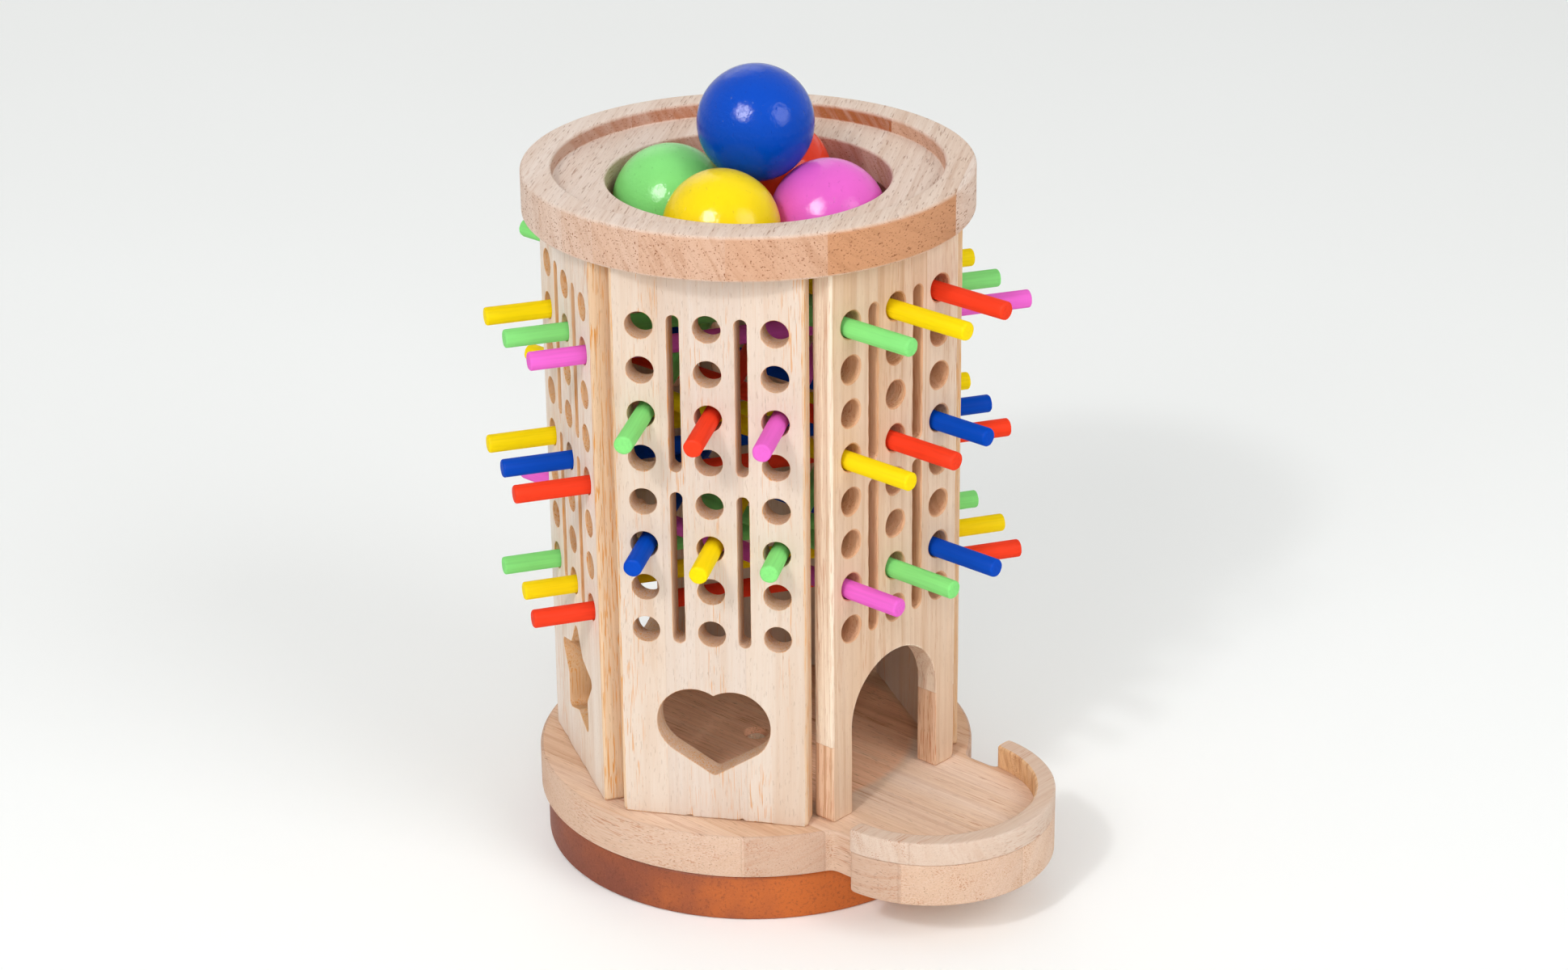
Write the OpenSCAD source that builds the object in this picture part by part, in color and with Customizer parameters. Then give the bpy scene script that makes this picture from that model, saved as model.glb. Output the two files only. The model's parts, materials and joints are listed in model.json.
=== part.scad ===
// Stick balance game: a six-sided wooden tower on a turning foot.
// Coloured sticks pass through the walls and hold up the balls in the hopper.
// The origin is the centre of the foot's underside, +Z is up and the door faces -Y.

/* [Foot and pivot] */
// How far the foot stands in from the base plate's edge
foot_inset = 2.2; // [0:0.1:20]
// Height of the stained foot
foot_h = 16.4; // [12:0.1:30]
// Rounding of the foot's edges
foot_round = 1; // [0.2:0.1:3]
// Diameter of the slippery disc that the tower turns on
glide_d = 110; // [60:1:130]
// Thickness of that disc
glide_h = 0.8; // [0.5:0.1:3]
// Diameter of the pivot screw's smooth shank
pivot_d = 5; // [4:0.1:6]
// Diameter of the pivot screw's head
pivot_head_d = 7.4; // [7:0.1:12]
// Height of the pivot screw's head
pivot_head_h = 2.2; // [1.5:0.1:4]
// How deep the head sits below the floor of the tower
pivot_sink = 1.6; // [0.5:0.1:4]
// Length of the pivot screw in the foot
pivot_bite = 11; // [6:0.5:11]

/* [Base plate and tray] */
// Thickness of the base plate
base_h = 15; // [12:0.1:30]
// How far the base plate stands out past the tower's corners
base_overhang = 4.35; // [1:0.05:20]
// Distance from the tower's axis to the centre of the round tray
tray_reach = 78; // [72:0.5:120]
// Inside width of the tray
tray_d = 69.6; // [50:0.2:90]
// Width of the lip round the tray
lip_w = 6.6; // [4:0.1:12]
// Height of that lip
lip_h = 7.9; // [4:0.1:20]

/* [Walls] */
// Width of the tower across opposite walls
tower_w = 125; // [116:0.5:160]
// Thickness of a wall board
wall_t = 8; // [7:0.1:10]
// Gap between neighbouring boards at their inner corners
wall_gap = 0.5; // [0.2:0.05:2]
// Rounding of a board's upright edges
wall_round = 1; // [0.2:0.1:2]
// Height of the lowest row of holes above the floor
skirt_h = 67.6; // [60:0.1:100]
// Wood above the centre of the top row of holes
top_margin = 19.9; // [15:0.1:40]

/* [Stick holes and slots] */
// Number of rows of holes
rows = 8; // [8:1:12]
// Height from one row to the next
row_pitch = 15; // [12:0.1:25]
// Distance from one column to the next
column_pitch = 21.7; // [16:0.1:22]
// Diameter of a stick hole
hole_d = 9; // [7:0.1:10]
// Width of the slots between the columns
slot_w = 4; // [2:0.1:5]
// How far a slot runs past the centres of its end rows
slot_past = 4; // [0:0.1:5]

/* [Door, heart, star and round window] */
// Width of the door
door_w = 42.6; // [40:0.1:44]
// Height of the door
door_h = 52; // [42:0.1:54]
// Width of the heart
heart_w = 37.8; // [30:0.1:42]
// Height of the heart
heart_h = 30.6; // [28:0.1:34]
// Radius of the heart's lobes
heart_lobe_r = 12.3; // [10:0.1:14]
// Rounding of the heart's tip
heart_tip_r = 2; // [1:0.1:4]
// Height of the heart's tip above the floor
heart_z = 16.5; // [10:0.1:20]
// Radius of the star's points before they are rounded
star_r = 20.4; // [14:0.1:22]
// Radius of the star's inner corners as a share of its points' radius
star_waist = 0.6; // [0.4:0.01:0.8]
// Rounding of the star's corners
star_round = 2; // [0.5:0.1:3]
// Height of the star's centre above the floor
star_z = 31.8; // [26:0.1:36]
// Diameter of the round window in the board opposite the door
window_d = 33.6; // [20:0.1:36]
// Height of that window's centre above the floor
window_z = 31; // [26:0.1:36]

/* [Top ring] */
// Thickness of the top ring
ring_h = 14.8; // [10:0.1:30]
// How far the ring stands out past the tower's corners
ring_overhang = 3.65; // [1:0.05:20]
// Width of the raised rim
rim_w = 10.1; // [5:0.1:16]
// Depth of the dish inside the rim
dish_depth = 5.1; // [2:0.1:6]
// Rounding of the ring's edges
ring_round = 0.9; // [0.2:0.1:2]

/* [Dowels] */
// Diameter of the hidden dowels
dowel_d = 4; // [3:0.1:5]
// Length of a dowel in its wall board
dowel_in_wall = 9; // [6:0.1:10]
// Length of a dowel in the base plate
dowel_in_base = 9; // [6:0.1:10]
// Wood left above a dowel in the top ring
dowel_cover = 2.5; // [1:0.1:4]

/* [Sticks] */
// Diameter of a stick
stick_d = 6.2; // [5:0.1:6.8]
// Length of a stick
stick_len = 170; // [150:1:220]
// Bevel of a stick's ends
stick_bevel = 0.5; // [0.1:0.1:1]

/* [Balls] */
// Diameter of a ball
ball_d = 38; // [30:0.1:39]

/* [Fits] */
// Radial clearance of the pivot in its bore
pivot_fit = 0.05; // [0.02:0.01:0.1]
// Lift that the pivot screw's head leaves the base plate
pivot_play = 0.2; // [0.1:0.05:0.5]
// Radial clearance round the pivot screw's head
head_fit = 0.6; // [0.3:0.1:1]
// Radial clearance of a dowel in its hole
dowel_fit = 0.05; // [0.02:0.01:0.1]
// Gap under a stick that rests in its hole
stick_fit = 0.15; // [0.1:0.05:0.3]
// Gap between balls, and between a ball and its sticks or hole
ball_fit = 0.2; // [0.1:0.05:0.4]

/* [Hidden] */
$fn = 96;
eps = 1; // how far a cut runs past the surface that it opens
wall_count = 6;
wall_turn = 360 / wall_count;
half_turn = wall_turn / 2;

// Heights
base_z = foot_h + glide_h;
floor_z = base_z + base_h;
top_row_z = floor_z + skirt_h + (rows - 1) * row_pitch;
ring_z = top_row_z + top_margin;

// The tower's plan
outer_a = tower_w / 2;
inner_a = outer_a - wall_t;
middle_a = outer_a - wall_t / 2;
wall_w = 2 * inner_a * tan(half_turn) - wall_gap / cos(half_turn);
corner_r = norm([outer_a, wall_w / 2]);
base_r = corner_r + base_overhang;
foot_r = base_r - foot_inset;
ring_r = corner_r + ring_overhang;
dish_r = ring_r - rim_w;
tray_r = tray_d / 2 + lip_w;

// Dowels stand in the middle of the door's legs, and at the same place in the other walls
dowel_u = (door_w + wall_w) / 4;
dowel_in_ring = ring_h - dish_depth - dowel_cover;
dowel_bevel = 0.4;

// The pivot screw
thread_d = pivot_d - 1;
head_z = floor_z - pivot_sink - pivot_head_h;
recess_z = head_z - pivot_play;
cross_w = 1.2;
cross_l = pivot_head_d * 0.6;
cross_depth = pivot_head_h / 2;

// Sticks lie on the bottom of their holes, which drops them below the row's centre
stick_drop = (hole_d - stick_d) / 2 - stick_fit;

// Four balls fill the hopper in a square. Two opposite ones nest between the sticks
// of the top row, the other two lie higher on the outer sticks.
pack_d = ball_d + ball_fit;
pack_r = pack_d / sqrt(2);
hopper_r = pack_r + ball_d / 2 + ball_fit;
nest_turn = asin(column_pitch / 2 / pack_r);
reach_to_stick = (ball_d + stick_d) / 2 + ball_fit;
stick_z = top_row_z - stick_drop;
function rest_z(off) = stick_z + sqrt(reach_to_stick * reach_to_stick - off * off);
low_z = rest_z(column_pitch / 2);
high_z = rest_z(pack_r * cos(nest_turn) - column_pitch);

// The fifth ball touches both higher balls and one lower ball. Its height over the
// higher ones is the root of a quadratic, and it leans towards the lower one.
step = high_z - low_z;
slope = step / pack_r;
square_term = 1 + slope * slope;
linear_term = slope * slope * step;
fixed_term = slope * slope * step * step / 4 - pack_r * pack_r;
top_rise = (sqrt(linear_term * linear_term - 4 * square_term * fixed_term) - linear_term)
    / (2 * square_term);
top_lean = slope * (step / 2 + top_rise);

// Colours
pale_wood = "#ecd7be";
warm_wood = "#e0bd94";
stained_wood = "#9c4f22";
dowel_wood = "#d8b98e";
green = "#69dc73";
yellow = "#fade1e";
red = "#eb2d1c";
blue = "#0a4bbe";
pink = "#f062d8";

// Directions of the walls' outer faces, turned from -Y towards +X. The three front walls
// have cut-outs, and so has the one opposite the door. The other two are plain.
DOOR_SIDE = 0;
HEART_SIDE = -wall_turn;
STAR_SIDE = -2 * wall_turn;
SIDES = [for (i = [0:wall_count - 1]) i * wall_turn];

// Sticks: name, direction of the wall they come out of, row from the top, column from
// the middle, how far the stick stands out past its central position, colour
STICKS = [
    ["door_stick_row1_left", DOOR_SIDE, 1, -1, 2.5, green],
    ["door_stick_row1_middle", DOOR_SIDE, 1, 0, 7, yellow],
    ["door_stick_row1_right", DOOR_SIDE, 1, 1, 5, red],
    ["star_stick_row2_left", STAR_SIDE, 2, -1, -1, yellow],
    ["star_stick_row2_middle", STAR_SIDE, 2, 0, -2, green],
    ["star_stick_row2_right", STAR_SIDE, 2, 1, -4.5, pink],
    ["heart_stick_row3_left", HEART_SIDE, 3, -1, 0.5, green],
    ["heart_stick_row3_middle", HEART_SIDE, 3, 0, -1, red],
    ["heart_stick_row3_right", HEART_SIDE, 3, 1, -1.5, pink],
    ["door_stick_row4_left", DOOR_SIDE, 4, -1, 2.5, yellow],
    ["door_stick_row4_middle", DOOR_SIDE, 4, 0, 3, red],
    ["door_stick_row4_right", DOOR_SIDE, 4, 1, -1.5, blue],
    ["star_stick_row5_left", STAR_SIDE, 5, -1, 0, yellow],
    ["star_stick_row5_middle", STAR_SIDE, 5, 0, 0.5, blue],
    ["star_stick_row5_right", STAR_SIDE, 5, 1, 2, red],
    ["heart_stick_row6_left", HEART_SIDE, 6, -1, -6.5, blue],
    ["heart_stick_row6_middle", HEART_SIDE, 6, 0, -5, yellow],
    ["heart_stick_row6_right", HEART_SIDE, 6, 1, -10, green],
    ["door_stick_row7_left", DOOR_SIDE, 7, -1, -2, pink],
    ["door_stick_row7_middle", DOOR_SIDE, 7, 0, 2.5, green],
    ["door_stick_row7_right", DOOR_SIDE, 7, 1, 2.5, blue],
    ["star_stick_row8_left", STAR_SIDE, 8, -1, -3.5, green],
    ["star_stick_row8_middle", STAR_SIDE, 8, 0, -5, yellow],
    ["star_stick_row8_right", STAR_SIDE, 8, 1, -2.5, red],
];

// Balls: name, distance from the tower's axis, direction, height of the centre, colour
BALLS = [
    ["ball_red", pack_r, nest_turn, high_z, red],
    ["ball_green", pack_r, nest_turn + 90, low_z, green],
    ["ball_yellow", pack_r, nest_turn + 180, high_z, yellow],
    ["ball_pink", pack_r, nest_turn + 270, low_z, pink],
    ["ball_blue", top_lean, nest_turn + 270, high_z + top_rise, blue],
];

// Rounds the corners of an outline whose points are [x, y, corner radius]
corner_steps = 5;
function unit(v) = v / norm(v);
function xy(p) = [p[0], p[1]];
function arc(middle, r, first, sweep, steps) = [for (i = [0:steps])
    middle + r * [cos(first + sweep * i / steps), sin(first + sweep * i / steps)]];
function turn_between(a, b) = (b - a + 540) % 360 - 180;
function corner(before, p, after) =
    p[2] == 0 ? [xy(p)] :
    let (
        u = unit(xy(before) - xy(p)),
        v = unit(xy(after) - xy(p)),
        half = acos(u * v) / 2,
        middle = xy(p) + unit(u + v) * p[2] / sin(half),
        start = xy(p) + u * p[2] / tan(half) - middle,
        end = xy(p) + v * p[2] / tan(half) - middle,
        first = atan2(start[1], start[0]),
        sweep = turn_between(first, atan2(end[1], end[0]))
    )
    arc(middle, p[2], first, sweep, corner_steps);
function rounded(pts) = let (n = len(pts))
    [for (i = [0:n - 1]) for (q = corner(pts[(i + n - 1) % n], pts[i], pts[(i + 1) % n])) q];

// Turns a piece drawn for the wall at -Y to the wall in the given direction
module at_wall(direction) {
    rotate([0, 0, direction]) children();
}

// Lays an upright outline (x across, y up from the floor) through the wall at -Y
module through_wall() {
    translate([0, -inner_a + eps, floor_z]) rotate([90, 0, 0])
        linear_extrude(height = wall_t + 2 * eps) children();
}

module foot() {
    color(stained_wood) difference() {
        rotate_extrude() polygon(rounded([
            [0, 0, 0], [foot_r, 0, foot_round], [foot_r, foot_h, foot_round], [0, foot_h, 0]]));
        translate([0, 0, foot_h - pivot_bite]) cylinder(d = thread_d, h = pivot_bite + eps);
    }
}

module glide_disc() {
    color("white") translate([0, 0, foot_h]) difference() {
        cylinder(d = glide_d, h = glide_h);
        translate([0, 0, -eps]) cylinder(r = pivot_d / 2 + pivot_fit, h = glide_h + 2 * eps);
    }
}

module pivot_screw() {
    color("silver") difference() {
        union() {
            translate([0, 0, foot_h - pivot_bite]) cylinder(d = thread_d, h = pivot_bite);
            translate([0, 0, foot_h]) cylinder(d = pivot_d, h = head_z - foot_h);
            translate([0, 0, head_z]) rotate_extrude() polygon(rounded([
                [0, 0, 0], [pivot_head_d / 2, 0, 0],
                [pivot_head_d / 2, pivot_head_h, pivot_head_h * 0.6], [0, pivot_head_h, 0]]));
        }
        for (turn = [0, 90]) rotate([0, 0, turn])
            translate([-cross_l / 2, -cross_w / 2, head_z + pivot_head_h - cross_depth])
                cube([cross_l, cross_w, cross_depth + eps]);
    }
}

// The disc, the neck and the round front of the base plate
module base_outline() {
    circle(r = base_r);
    translate([-tray_d / 2, -tray_reach]) square([tray_d, tray_reach]);
    tray_round();
}

// The round front, which starts with a square step at the tray's centre line
module tray_round() {
    intersection() {
        translate([0, -tray_reach]) circle(r = tray_r);
        translate([-tray_r, -tray_reach - tray_r]) square([2 * tray_r, tray_r]);
    }
}

module base_plate() {
    color(warm_wood) difference() {
        translate([0, 0, base_z]) linear_extrude(height = base_h) base_outline();
        translate([0, 0, base_z - eps]) cylinder(r = pivot_d / 2 + pivot_fit, h = base_h + 2 * eps);
        translate([0, 0, recess_z]) cylinder(r = pivot_head_d / 2 + head_fit, h = base_h);
        dowel_holes(floor_z - dowel_in_base, dowel_in_base + eps);
    }
}

module tray_lip() {
    color(pale_wood) translate([0, 0, floor_z]) linear_extrude(height = lip_h) difference() {
        tray_round();
        translate([0, -tray_reach]) circle(d = tray_d);
    }
}

// Places for the two dowels of each wall
module at_dowels() {
    for (direction = SIDES) at_wall(direction)
        for (side = [-1, 1]) translate([side * dowel_u, -middle_a, 0]) children();
}

module dowel_holes(z, h) {
    at_dowels() translate([0, 0, z]) cylinder(r = dowel_d / 2 + dowel_fit, h = h, $fn = 32);
}

module dowels(z, h) {
    color(dowel_wood) at_dowels() translate([0, 0, z]) {
        cylinder(d1 = dowel_d - 2 * dowel_bevel, d2 = dowel_d, h = dowel_bevel, $fn = 32);
        translate([0, 0, dowel_bevel]) cylinder(d = dowel_d, h = h - 2 * dowel_bevel, $fn = 32);
        translate([0, 0, h - dowel_bevel])
            cylinder(d1 = dowel_d, d2 = dowel_d - 2 * dowel_bevel, h = dowel_bevel, $fn = 32);
    }
}

module base_dowels() { dowels(floor_z - dowel_in_base, dowel_in_base + dowel_in_wall); }
module ring_dowels() { dowels(ring_z - dowel_in_wall, dowel_in_wall + dowel_in_ring); }

// A wall board with its holes, slots and dowel holes. Its children are cut out of the skirt.
module wall(direction) {
    color(pale_wood) difference() {
        at_wall(direction) difference() {
            translate([0, 0, floor_z]) linear_extrude(height = ring_z - floor_z) polygon(rounded([
                [-wall_w / 2, -outer_a, wall_round], [wall_w / 2, -outer_a, wall_round],
                [wall_w / 2, -inner_a, wall_round / 2], [-wall_w / 2, -inner_a, wall_round / 2]]));
            for (row = [0:rows - 1], column = [-1:1])
                translate([column * column_pitch, -inner_a + eps, top_row_z - row * row_pitch])
                    rotate([90, 0, 0]) cylinder(d = hole_d, h = wall_t + 2 * eps, $fn = 48);
            through_wall() slots();
            through_wall() children();
        }
        dowel_holes(floor_z - eps, dowel_in_wall + eps);
        dowel_holes(ring_z - dowel_in_wall, dowel_in_wall + eps);
    }
}

// Two slots, one above the other, on each side of the middle column
module slots() {
    upper_rows = floor(rows / 2);
    for (side = [-1, 1], span = [[0, upper_rows - 1], [upper_rows, rows - 1]])
        slot(side * column_pitch / 2,
            top_row_z - floor_z - span[0] * row_pitch + slot_past,
            top_row_z - floor_z - span[1] * row_pitch - slot_past);
}

module slot(x, top, bottom) {
    translate([x - slot_w / 2, bottom + slot_w / 2]) square([slot_w, top - bottom - slot_w]);
    for (y = [bottom + slot_w / 2, top - slot_w / 2]) translate([x, y]) circle(d = slot_w);
}

module door_panel() { wall(DOOR_SIDE) door_outline(); }
module heart_panel() { wall(HEART_SIDE) heart_outline(); }
module star_panel() { wall(STAR_SIDE) star_outline(); }
module door_back_panel() { wall(DOOR_SIDE + 180) window_outline(); }
module heart_back_panel() { wall(HEART_SIDE + 180); }
module star_back_panel() { wall(STAR_SIDE + 180); }

module door_outline() {
    translate([-door_w / 2, -eps]) square([door_w, door_h - door_w / 2 + eps]);
    translate([0, door_h - door_w / 2]) circle(d = door_w);
}

// Two lobes and a rounded tip, joined by the straight lines that touch both. The right
// half runs from the tip up to where the lobes meet, and the left half mirrors it.
lobe_steps = 30;
module heart_outline() {
    lobe = [heart_w / 2 - heart_lobe_r, heart_h - heart_lobe_r];
    tip = [0, heart_tip_r];
    line = lobe - tip;
    touch = atan2(line[1], line[0]) - acos((heart_tip_r - heart_lobe_r) / norm(line));
    notch = 180 - acos(lobe[0] / heart_lobe_r);
    right = concat(arc(tip, heart_tip_r, -90, touch + 90, corner_steps),
        arc(lobe, heart_lobe_r, touch, notch - touch, lobe_steps));
    left = [for (i = [len(right) - 2:-1:1]) [-right[i][0], right[i][1]]];
    translate([0, heart_z]) polygon(concat(right, left));
}

module star_outline() {
    translate([0, star_z]) polygon(rounded([for (i = [0:9])
        let (r = i % 2 == 0 ? star_r : star_r * star_waist)
        [r * sin(36 * i), r * cos(36 * i), star_round]]));
}

module window_outline() {
    translate([0, window_z]) circle(d = window_d);
}

module top_ring() {
    color(warm_wood) difference() {
        translate([0, 0, ring_z]) rotate_extrude() polygon(rounded([
            [hopper_r, 0, ring_round], [ring_r, 0, ring_round], [ring_r, ring_h, ring_round],
            [dish_r, ring_h, ring_round], [dish_r, ring_h - dish_depth, ring_round],
            [hopper_r, ring_h - dish_depth, ring_round]]));
        dowel_holes(ring_z - eps, dowel_in_ring + eps);
    }
}

module stick(spec) {
    hole_z = top_row_z - (spec[2] - 1) * row_pitch;
    color(spec[5]) at_wall(spec[1])
        translate([spec[3] * column_pitch, stick_len / 2 - spec[4], hole_z - stick_drop])
            rotate([90, 0, 0]) rotate_extrude($fn = 48) polygon([
                [0, 0], [stick_d / 2 - stick_bevel, 0], [stick_d / 2, stick_bevel],
                [stick_d / 2, stick_len - stick_bevel], [stick_d / 2 - stick_bevel, stick_len],
                [0, stick_len]]);
}

module ball(spec) {
    color(spec[4]) translate([spec[1] * cos(spec[2]), spec[1] * sin(spec[2]), spec[3]])
        sphere(d = ball_d);
}

foot();
glide_disc();
pivot_screw();
base_plate();
tray_lip();
door_panel();
heart_panel();
star_panel();
door_back_panel();
heart_back_panel();
star_back_panel();
top_ring();
base_dowels();
ring_dowels();
for (s = STICKS) stick(s);
for (b = BALLS) ball(b);
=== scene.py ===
# Stick balance game: wooden skin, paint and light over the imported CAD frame.
# Shapes are worked out in millimetres and become metres as they enter a mesh.
import json
import bpy
import bmesh
import numpy as np
from mathutils import Matrix, Vector
from mathutils.geometry import delaunay_2d_cdt


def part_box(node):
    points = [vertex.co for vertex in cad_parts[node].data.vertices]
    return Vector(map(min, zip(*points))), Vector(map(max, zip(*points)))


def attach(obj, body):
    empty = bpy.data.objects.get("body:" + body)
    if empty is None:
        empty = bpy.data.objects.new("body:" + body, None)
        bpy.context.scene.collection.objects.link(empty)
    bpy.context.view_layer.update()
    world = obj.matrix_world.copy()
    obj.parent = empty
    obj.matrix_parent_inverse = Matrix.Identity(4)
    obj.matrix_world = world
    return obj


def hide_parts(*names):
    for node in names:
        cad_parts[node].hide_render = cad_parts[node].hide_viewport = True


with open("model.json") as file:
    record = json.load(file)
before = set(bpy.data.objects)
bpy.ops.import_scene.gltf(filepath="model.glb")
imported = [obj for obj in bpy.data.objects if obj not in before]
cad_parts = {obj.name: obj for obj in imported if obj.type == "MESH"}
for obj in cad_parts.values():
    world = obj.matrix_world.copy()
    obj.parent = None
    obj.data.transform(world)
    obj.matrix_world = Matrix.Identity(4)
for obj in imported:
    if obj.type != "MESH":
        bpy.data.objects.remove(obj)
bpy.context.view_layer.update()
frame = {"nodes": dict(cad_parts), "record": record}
mm = 0.001
print('frame loaded with', len(frame['nodes']), 'nodes')


def corners(node):
    # The lowest and the highest corner of a CAD node, in mm
    return [np.array(v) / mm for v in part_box(node)]


def placed(name, data):
    # A new object in the scene, at the origin
    made = bpy.data.objects.new(name, data)
    bpy.context.scene.collection.objects.link(made)
    return made


# Camera

view = {'turn': -47.81, 'rise': 23.63, 'roll': -0.581, 'distance': 1205.01,
        'slide': 10.464, 'aim': (0, 0, 125.4), 'lens': 82.70, 'sensor': 36, 'farthest': 50}


def photoCamera(v):
    # Backs off from the aim along the line of sight, slides sideways and rolls about that line
    turn, rise, roll = np.radians([v['turn'], v['rise'], v['roll']])
    back = np.array([np.sin(turn) * np.cos(rise), -np.cos(turn) * np.cos(rise), np.sin(rise)])
    level = np.array([np.cos(turn), np.sin(turn), 0])
    right = np.cos(roll) * level + np.sin(roll) * np.cross(back, level)
    spot = (np.array(v['aim']) + back * v['distance'] + right * v['slide']) * mm
    made = bpy.data.cameras.new('photo camera')
    made.lens, made.sensor_width, made.sensor_fit = v['lens'], v['sensor'], 'HORIZONTAL'
    made.clip_end = v['farthest']
    axes = np.eye(4)
    axes[:3] = np.stack([right, np.cross(back, right), back, spot], 1)
    eye = placed('photo camera', made)
    eye.matrix_world = Matrix(axes.tolist())
    bpy.context.scene.camera = eye


photoCamera(view)
print('camera set')


# Shader sockets as expressions

def shade(red, green, blue):
    # A colour written 0 to 255 as the screen shows it, made linear for a socket
    c = np.array([red, green, blue]) / 255
    c = np.where(c <= 0.04045, c / 12.92, ((c + 0.055) / 1.055) ** 2.4)
    return (*c.tolist(), 1)


def dim(colour, share, lift=0.0):
    # A linear colour times share, raised by lift
    return tuple(share * c + lift for c in colour[:3]) + (1,)


class Sock:
    # An output socket: sums on values add Math nodes, sums on vectors Vector Math nodes
    def __init__(self, paint, link):
        self.paint, self.link = paint, link

    def join(self, how, first, second):
        kind = 'Math' if self.link.type == 'VALUE' else 'VectorMath'
        return self.paint.node(kind, {'operation': how}, {0: first, 1: second})

    def __add__(self, other):
        return self.join('ADD', self, other)

    def __radd__(self, other):
        return self.join('ADD', other, self)

    def __sub__(self, other):
        return self.join('SUBTRACT', self, other)

    def __rsub__(self, other):
        return self.join('SUBTRACT', other, self)

    def __mul__(self, other):
        return self.join('MULTIPLY', self, other)

    def __rmul__(self, other):
        return self.join('MULTIPLY', other, self)

    def __truediv__(self, other):
        return self.join('DIVIDE', self, other)

    def __rtruediv__(self, other):
        return self.join('DIVIDE', other, self)

    def __pow__(self, other):
        return self.join('POWER', self, other)

    def __rpow__(self, other):
        return self.join('POWER', other, self)


class Paint:
    # One material, or the world, and the few ways in which its nodes are made
    def __init__(self, name, world=None):
        self.material = world or bpy.data.materials.new(name)
        self.material.use_nodes = True
        self.tree = self.material.node_tree
        self.tree.nodes.clear()

    def node(self, kind, settings, sockets, out=0):
        # Adds a node. A ramp's stops are pairs of place and grey, and its spread is the step between them
        made = self.tree.nodes.new('ShaderNode' + kind)
        for key, value in settings.items():
            if key == 'stops':
                for place, grey in value[1:]:
                    made.color_ramp.elements.new(place).color = (grey, grey, grey, 1)
                made.color_ramp.elements.remove(made.color_ramp.elements[-1])  # the white end of a new ramp
                made.color_ramp.elements[0].color = (value[0][1],) * 3 + (1,)
            elif key == 'spread':
                made.color_ramp.interpolation = value
            else:
                setattr(made, key, value)
        for key, value in sockets.items():
            socket = made.inputs[key]
            if isinstance(value, Sock):
                self.tree.links.new(value.link, socket)
            elif np.isscalar(value) and socket.type == 'VECTOR':
                socket.default_value = (value,) * 3
            else:
                socket.default_value = value
        return Sock(self, made.outputs[out])

    def space(self, turn=0, order='XYZ'):
        # Object coordinates in mm, turned back about z, with the axis of the grain put third
        flat = self.node('TexCoord', {}, {}, 'Object')
        flat = self.node('Mapping', {}, {'Vector': flat, 'Scale': (1 / mm,) * 3,
                                         'Rotation': (0, 0, -np.radians(turn))})
        if order == 'XYZ':
            return flat
        return self.node('CombineXYZ', {}, {i: self.axis(flat, order[i]) for i in range(3)})

    def axis(self, vector, letter):
        # One coordinate of a vector
        return self.node('SeparateXYZ', {}, {0: vector}, letter)

    def read(self, name, out='Fac'):
        # What the mesh's attribute of that name holds
        return self.node('Attribute', {'attribute_name': name}, {}, out)

    def noise(self, point, rate, detail=2, rough=0.5, seed=0.0, out='Fac'):
        # Noise at point times rate plus seed, so rate is about the number of spots per mm along each axis
        at = self.node('VectorMath', {'operation': 'MULTIPLY_ADD'}, {0: point, 1: rate, 2: seed})
        return self.node('TexNoise', {}, {'Vector': at, 'Scale': 1.0, 'Detail': detail,
                                          'Roughness': rough}, out)

    def band(self, value, low, high):
        # 0 below low, 1 above high, a soft step between
        return self.node('MapRange', {'interpolation_type': 'SMOOTHSTEP'},
                         {'Value': value, 'From Min': low, 'From Max': high})

    def tint(self, mask, under, over):
        # The colour under where the mask is 0, the colour over where it is 1
        return self.node('Mix', {'data_type': 'RGBA', 'blend_type': 'MIX'}, {0: mask, 6: under, 7: over}, 2)

    def finish(self, colour, rough, height, depth, constants=None):
        # Closes the material: what varies feeds colour, roughness and bump, the rest is constant
        sockets = {'Base Color': colour, 'Roughness': rough}
        sockets['Normal'] = self.node('Bump', {}, {'Height': height, 'Distance': depth * mm, 'Strength': 1.0})
        sockets.update(constants or {})
        skin = self.node('BsdfPrincipled', {}, sockets)
        self.tree.links.new(skin.link, self.tree.nodes.new('ShaderNodeOutputMaterial').inputs['Surface'])
        return self.material


# Timber

# Rates are per mm across, through and along the grain. A band is where a mask begins and where it is full
pattern = {'stripShift': (171, 93, 457), 'glueLine': (0.05, 0.22),  # strips read apart from each other
           'drift': (0.035, 0.035, 0.006),
           'cloud': (0.13, 0.03, 0.005), 'cloudBand': (0.3, 0.7), 'ringBend': 1.6, 'ringSharp': 5,
           'lineThrough': 0.14, 'lineAlong': 0.007, 'lineBand': (0.46, 0.72),
           'fibre': (2.1, 2.1, 0.045), 'fibreBand': (0.35, 0.75),
           'patch': (0.13, 0.13, 0.016), 'patchBand': (0.46, 0.66),
           'streak': (2.3, 2.3, 0.1), 'streakBand': (0.595, 0.66), 'poreFull': 0.74,
           'jointBlur': 0.15, 'jointShift': (61, 233), 'jointTone': 0.8, 'insideBlur': 2,
           'bump': 0.09, 'specular': 0.04}


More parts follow.
